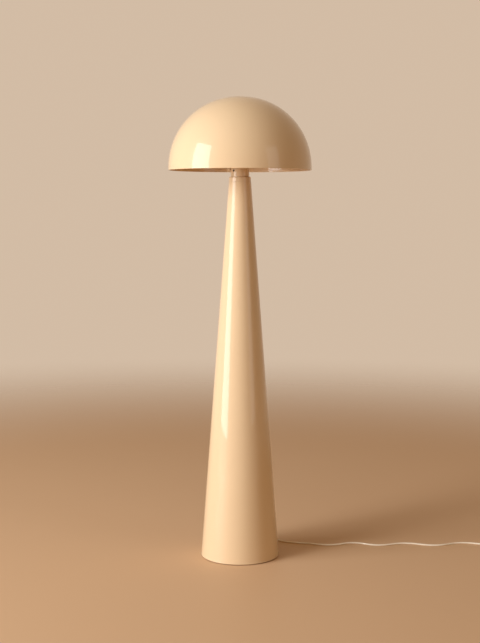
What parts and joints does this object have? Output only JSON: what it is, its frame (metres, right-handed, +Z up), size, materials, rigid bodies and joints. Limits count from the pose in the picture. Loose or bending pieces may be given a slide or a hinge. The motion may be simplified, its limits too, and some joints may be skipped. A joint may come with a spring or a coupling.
{
  "type": "mushroom floor lamp",
  "caption": "Floor lamp with a tall conical stem, a domed shade that lifts off three hidden arms, and a switched bulb holder under the dome.",
  "frame": {"origin": "on the floor under the lamp's axis, at the middle of the foot", "axes": "+Z up along the stem, -Y towards the viewer of the picture, +X to the viewer's right, where the cord runs"},
  "size_m": [1.0516, 0.426, 1.3],
  "materials": {
    "enamel": "smooth gloss cream enamel",
    "bare_steel": "mill finish, welded",
    "zinc_steel": "zinc plated",
    "black_steel": "black oxide",
    "cast_iron": "as cast, dark primer",
    "foot_rubber": "matt foam rubber",
    "cord_white": "soft gloss warm white cord jacket",
    "tie_black": "woven hook and loop strap",
    "plug_white": "satin moulded",
    "plug_nickel": "nickel plated brass",
    "clamp_plastic": "natural nylon",
    "holder_plastic": "cream heat-proof plastic",
    "knob_plastic": "cream moulded",
    "brass": "drawn sheet",
    "porcelain": null,
    "carrier_steel": "satin cream powder coat",
    "pad_silicone": "translucent soft silicone",
    "opal_glass": "opal, inside frosted",
    "bulb_nickel": "rolled screw cap",
    "black_glass": "vitrite"
  },
  "bodies": {
    "stand": {"stem_cone": "enamel", "top_cap": "enamel", "holder_cup": "enamel", "base_ring": "bare_steel", "base_plate": "zinc_steel", "plate_screws": "zinc_steel", "ballast": "cast_iron", "ballast_bolts": "zinc_steel", "foot_ring": "foot_rubber", "cord_boot": "cord_white", "inner_cord": "cord_white", "floor_cord": "cord_white", "cord_coil": "cord_white", "coil_tie": "tie_black", "plug_body": "plug_white", "plug_pins": "plug_nickel", "cord_clamp": "clamp_plastic", "clamp_screws": "zinc_steel", "nipple": "zinc_steel", "nipple_nuts": "zinc_steel", "nipple_washer": "zinc_steel", "cup_screw": "black_steel", "holder_base": "holder_plastic", "holder_shell": "holder_plastic", "switch_bush": "brass", "contact_block": "porcelain", "screw_shell": "brass", "centre_contact": "brass", "shade_carrier": "carrier_steel", "carrier_studs": "zinc_steel", "carrier_pads": "pad_silicone", "shade_ring": "holder_plastic"},
    "shade": {"shade_dome": "enamel", "shade_brackets": "enamel"},
    "bulb": {"bulb_glass": "opal_glass", "bulb_cap": "bulb_nickel", "bulb_insulator": "black_glass", "bulb_contact": "bulb_nickel"},
    "knob": {"knob_shaft": "zinc_steel", "switch_knob": "knob_plastic"}
  },
  "joints": [
    {"name": "shade_lift", "type": "slide", "parent": "stand", "child": "shade", "axis": [0, 0, 1], "range_m": [0, 0.14]},
    {"name": "bulb_out", "type": "slide", "parent": "stand", "child": "bulb", "axis": [0, 0, 1], "range_m": [0, 0.027]},
    {"name": "knob_turn", "type": "hinge", "parent": "stand", "child": "knob", "pos_m": [-0.031, 0, 1.0997], "axis": [-1, 0, 0], "continuous": true}
  ]
}
